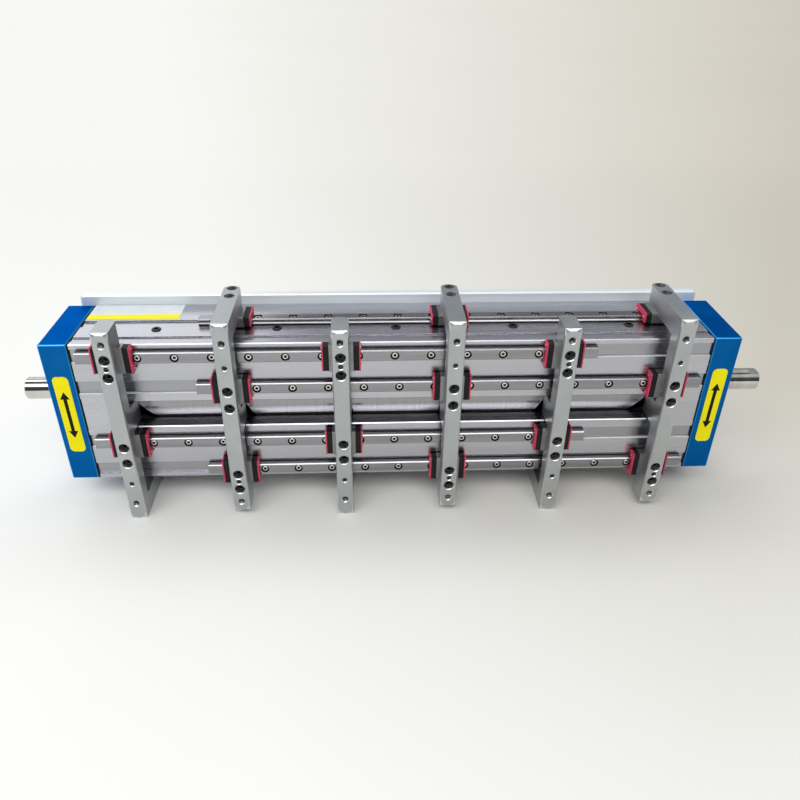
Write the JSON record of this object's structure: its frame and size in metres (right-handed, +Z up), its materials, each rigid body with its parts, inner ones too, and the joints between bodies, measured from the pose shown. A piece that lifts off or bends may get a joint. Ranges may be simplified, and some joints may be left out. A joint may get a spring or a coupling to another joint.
{
  "type": "variable pitch module",
  "caption": "Linear module whose slider bars ride on miniature guides and spread or close together as one grooved cam drum turns.",
  "frame": {"origin": "centre of the rear mounting face of the base plate", "axes": "+X along the module towards the shaft end with the flat, +Y out of the mounting face, +Z up"},
  "size_m": [0.3368, 0.0539, 0.0958],
  "materials": {
    "body_silver": "satin anodised",
    "blue_anodised": "blue anodised",
    "bar_aluminium": "fine blasted",
    "guide_steel": "ground",
    "cam_steel": "turned",
    "shaft_steel": "ground",
    "black_screw": "black oxide",
    "rail_screw": "plated",
    "black_cap": "moulded",
    "black_gasket": "matt",
    "red_seal": "matt"
  },
  "bodies": {
    "frame": {"base_plate": "body_silver", "base_screws": "black_screw", "bearing_outer_left": "shaft_steel", "bearing_outer_right": "shaft_steel", "bottom_rail": "guide_steel", "end_block_left": "blue_anodised", "end_block_right": "blue_anodised", "end_block_screws": "black_screw", "end_gasket_left": "black_gasket", "end_gasket_right": "black_gasket", "front_rail_1": "guide_steel", "front_rail_2": "guide_steel", "front_rail_3": "guide_steel", "front_rail_4": "guide_steel", "front_rail_screws": "rail_screw", "main_body": "body_silver", "set_screws": "black_screw", "side_rail_screws": "rail_screw", "top_rail": "guide_steel"},
    "cam": {"bearing_inner_left": "shaft_steel", "bearing_inner_right": "shaft_steel", "cam_drum": "cam_steel", "drive_shaft": "shaft_steel", "drum_pins": "shaft_steel"},
    "slider_1": {"cam_follower_1": "shaft_steel", "carriage_blocks_1": "guide_steel", "carriage_caps_1": "black_cap", "carriage_screws_1": "black_screw", "carriage_seals_1": "red_seal", "slider_bar_1": "bar_aluminium"},
    "slider_2": {"cam_follower_2": "shaft_steel", "carriage_blocks_2": "guide_steel", "carriage_caps_2": "black_cap", "carriage_screws_2": "black_screw", "carriage_seals_2": "red_seal", "slider_bar_2": "bar_aluminium"},
    "slider_3": {"cam_follower_3": "shaft_steel", "carriage_blocks_3": "guide_steel", "carriage_caps_3": "black_cap", "carriage_screws_3": "black_screw", "carriage_seals_3": "red_seal", "slider_bar_3": "bar_aluminium"},
    "slider_4": {"cam_follower_4": "shaft_steel", "carriage_blocks_4": "guide_steel", "carriage_caps_4": "black_cap", "carriage_screws_4": "black_screw", "carriage_seals_4": "red_seal", "slider_bar_4": "bar_aluminium"},
    "slider_5": {"cam_follower_5": "shaft_steel", "carriage_blocks_5": "guide_steel", "carriage_caps_5": "black_cap", "carriage_screws_5": "black_screw", "carriage_seals_5": "red_seal", "slider_bar_5": "bar_aluminium"},
    "slider_6": {"cam_follower_6": "shaft_steel", "carriage_blocks_6": "guide_steel", "carriage_caps_6": "black_cap", "carriage_screws_6": "black_screw", "carriage_seals_6": "red_seal", "slider_bar_6": "bar_aluminium"}
  },
  "joints": [
    {"name": "cam_turn", "type": "hinge", "parent": "frame", "child": "cam", "pos_m": [0, -0.0183, 0], "axis": [-1, 0, 0], "range_deg": [0, 300]},
    {"name": "bar_1_slide", "type": "slide", "parent": "frame", "child": "slider_1", "axis": [1, 0, 0], "range_m": [0, 0.08]},
    {"name": "bar_2_slide", "type": "slide", "parent": "frame", "child": "slider_2", "axis": [1, 0, 0], "range_m": [0, 0.048]},
    {"name": "bar_3_slide", "type": "slide", "parent": "frame", "child": "slider_3", "axis": [1, 0, 0], "range_m": [0, 0.016]},
    {"name": "bar_4_slide", "type": "slide", "parent": "frame", "child": "slider_4", "axis": [1, 0, 0], "range_m": [-0.016, 0]},
    {"name": "bar_5_slide", "type": "slide", "parent": "frame", "child": "slider_5", "axis": [1, 0, 0], "range_m": [-0.048, 0]},
    {"name": "bar_6_slide", "type": "slide", "parent": "frame", "child": "slider_6", "axis": [1, 0, 0], "range_m": [-0.08, 0]}
  ],
  "couplings": [
    {"joint": "bar_1_slide", "follows": "cam_turn", "m_per_rad": 0.015279},
    {"joint": "bar_2_slide", "follows": "cam_turn", "m_per_rad": 0.0091673},
    {"joint": "bar_3_slide", "follows": "cam_turn", "m_per_rad": 0.0030558},
    {"joint": "bar_4_slide", "follows": "cam_turn", "m_per_rad": -0.0030558},
    {"joint": "bar_5_slide", "follows": "cam_turn", "m_per_rad": -0.0091673},
    {"joint": "bar_6_slide", "follows": "cam_turn", "m_per_rad": -0.015279}
  ]
}
